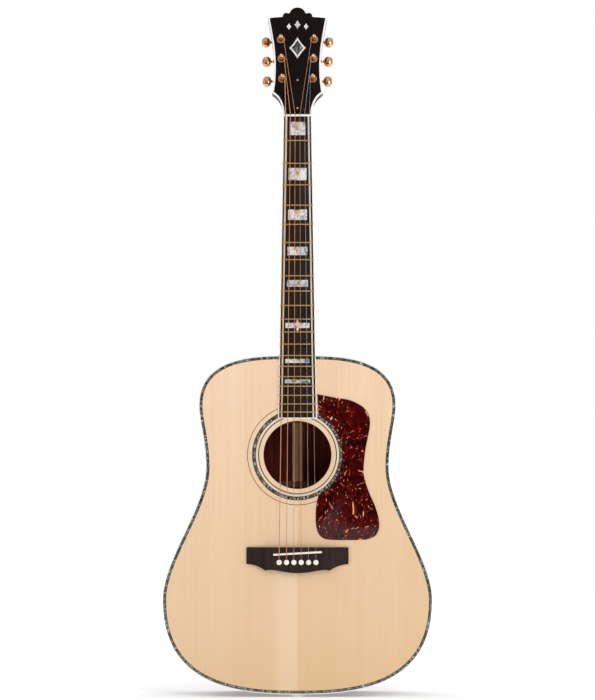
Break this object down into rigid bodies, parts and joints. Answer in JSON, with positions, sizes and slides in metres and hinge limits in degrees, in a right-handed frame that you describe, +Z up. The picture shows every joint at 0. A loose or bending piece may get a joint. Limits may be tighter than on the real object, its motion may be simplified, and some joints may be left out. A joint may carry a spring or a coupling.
{
  "type": "acoustic guitar",
  "caption": "Steel-string dreadnought acoustic guitar with spruce top, bound body, belly bridge, crested headstock and geared tuners that turn.",
  "frame": {"origin": "on the centre line where a wall hanger's yoke carries the headstock, 25 mm above the nut's front edge, 6 mm behind the soundboard's plane", "axes": "+Z up the neck from the tail to the headstock, -Y out of the soundboard's face towards the player's hand, +X to the treble side"},
  "size_m": [0.4034, 0.1386, 1.0401],
  "materials": {
    "spruce_top": "glossy lacquer over pale quartersawn spruce",
    "brace_spruce": "bare planed spruce",
    "maple": "bare maple",
    "rosewood": "gloss lacquer over dark figured rosewood",
    "block_wood": "bare mahogany",
    "neck_mahogany": "gloss lacquer over mahogany",
    "ebony": "oiled, close-grained",
    "binding": "polished cream plastic",
    "black_line": "thin black fibre lines beside the binding",
    "pearl": "polished mother of pearl",
    "abalone": "polished abalone shell",
    "bone": "polished bone",
    "tortoiseshell": "glossy dark red tortoiseshell pattern",
    "black_lacquer": "gloss black",
    "gold_plate": "polished gold plate",
    "fret_wire": "polished fret wire",
    "rod_steel": "plain steel",
    "plain_string": "bright plain steel wire",
    "wound_string": "bronze winding"
  },
  "bodies": {
    "root": {"back_binding": "binding", "back_brace_1": "block_wood", "back_brace_2": "block_wood", "back_brace_3": "block_wood", "back_brace_4": "block_wood", "back_plate": "rosewood", "back_strip": "brace_spruce", "bridge": "ebony", "bridge_pin_1": "bone", "bridge_pin_2": "bone", "bridge_pin_3": "bone", "bridge_pin_4": "bone", "bridge_pin_5": "bone", "bridge_pin_6": "bone", "bridge_plate": "maple", "end_pin": "bone", "fingerboard": "ebony", "headstock_overlay": "black_lacquer", "lining_back_bass": "block_wood", "lining_back_treble": "block_wood", "lining_top_bass": "block_wood", "lining_top_treble": "block_wood", "neck": "neck_mahogany", "neck_block": "block_wood", "nut": "bone", "pickguard": "tortoiseshell", "saddle": "bone", "side_bass": "rosewood", "side_treble": "rosewood", "soundboard": "spruce_top", "string_1": "plain_string", "string_2": "plain_string", "string_3": "wound_string", "string_4": "wound_string", "string_5": "wound_string", "string_6": "wound_string", "tail_block": "block_wood", "top_binding": "binding", "top_bracing": "brace_spruce", "transverse_brace": "brace_spruce", "truss_rod_cover": "black_lacquer", "tuner_1_housing": "gold_plate", "tuner_2_housing": "gold_plate", "tuner_3_housing": "gold_plate", "tuner_4_housing": "gold_plate", "tuner_5_housing": "gold_plate", "tuner_6_housing": "gold_plate"},
    "truss_rod": {"truss_rod": "rod_steel"},
    "tuner_1_button": {"tuner_1_button": "gold_plate"},
    "tuner_1_post": {"tuner_1_post": "gold_plate"},
    "tuner_2_button": {"tuner_2_button": "gold_plate"},
    "tuner_2_post": {"tuner_2_post": "gold_plate"},
    "tuner_3_button": {"tuner_3_button": "gold_plate"},
    "tuner_3_post": {"tuner_3_post": "gold_plate"},
    "tuner_4_button": {"tuner_4_button": "gold_plate"},
    "tuner_4_post": {"tuner_4_post": "gold_plate"},
    "tuner_5_button": {"tuner_5_button": "gold_plate"},
    "tuner_5_post": {"tuner_5_post": "gold_plate"},
    "tuner_6_button": {"tuner_6_button": "gold_plate"},
    "tuner_6_post": {"tuner_6_post": "gold_plate"}
  },
  "joints": [
    {"name": "tuner_1_button_turn", "type": "hinge", "parent": "root", "child": "tuner_1_button", "pos_m": [0.023, 0.03164, 0.0336], "axis": [1, 0, 0], "continuous": true},
    {"name": "tuner_1_post_turn", "type": "hinge", "parent": "root", "child": "tuner_1_post", "pos_m": [0.023, 0.00555, 0.03434], "axis": [0, -0.9703, 0.2419], "continuous": true},
    {"name": "tuner_2_button_turn", "type": "hinge", "parent": "root", "child": "tuner_2_button", "pos_m": [0.0242, 0.03948, 0.06504], "axis": [1, 0, 0], "continuous": true},
    {"name": "tuner_2_post_turn", "type": "hinge", "parent": "root", "child": "tuner_2_post", "pos_m": [0.0242, 0.01339, 0.06577], "axis": [0, -0.9703, 0.2419], "continuous": true},
    {"name": "tuner_3_button_turn", "type": "hinge", "parent": "root", "child": "tuner_3_button", "pos_m": [0.0251, 0.04715, 0.0958], "axis": [1, 0, 0], "continuous": true},
    {"name": "tuner_3_post_turn", "type": "hinge", "parent": "root", "child": "tuner_3_post", "pos_m": [0.0251, 0.02106, 0.09653], "axis": [0, -0.9703, 0.2419], "continuous": true},
    {"name": "tuner_4_button_turn", "type": "hinge", "parent": "root", "child": "tuner_4_button", "pos_m": [-0.0251, 0.04715, 0.0958], "axis": [1, 0, 0], "continuous": true},
    {"name": "tuner_4_post_turn", "type": "hinge", "parent": "root", "child": "tuner_4_post", "pos_m": [-0.0251, 0.02106, 0.09653], "axis": [0, -0.9703, 0.2419], "continuous": true},
    {"name": "tuner_5_button_turn", "type": "hinge", "parent": "root", "child": "tuner_5_button", "pos_m": [-0.0242, 0.03948, 0.06504], "axis": [1, 0, 0], "continuous": true},
    {"name": "tuner_5_post_turn", "type": "hinge", "parent": "root", "child": "tuner_5_post", "pos_m": [-0.0242, 0.01339, 0.06577], "axis": [0, -0.9703, 0.2419], "continuous": true},
    {"name": "tuner_6_button_turn", "type": "hinge", "parent": "root", "child": "tuner_6_button", "pos_m": [-0.023, 0.03164, 0.0336], "axis": [1, 0, 0], "continuous": true},
    {"name": "tuner_6_post_turn", "type": "hinge", "parent": "root", "child": "tuner_6_post", "pos_m": [-0.023, 0.00555, 0.03434], "axis": [0, -0.9703, 0.2419], "continuous": true},
    {"name": "truss_rod_turn", "type": "hinge", "parent": "root", "child": "truss_rod", "pos_m": [0, -0.001, -0.025], "axis": [0, 0, 1], "range_deg": [-360, 360]}
  ],
  "couplings": [
    {"joint": "tuner_1_post_turn", "follows": "tuner_1_button_turn", "ratio": 0.071429},
    {"joint": "tuner_2_post_turn", "follows": "tuner_2_button_turn", "ratio": 0.071429},
    {"joint": "tuner_3_post_turn", "follows": "tuner_3_button_turn", "ratio": 0.071429},
    {"joint": "tuner_4_post_turn", "follows": "tuner_4_button_turn", "ratio": 0.071429},
    {"joint": "tuner_5_post_turn", "follows": "tuner_5_button_turn", "ratio": 0.071429},
    {"joint": "tuner_6_post_turn", "follows": "tuner_6_button_turn", "ratio": 0.071429}
  ]
}
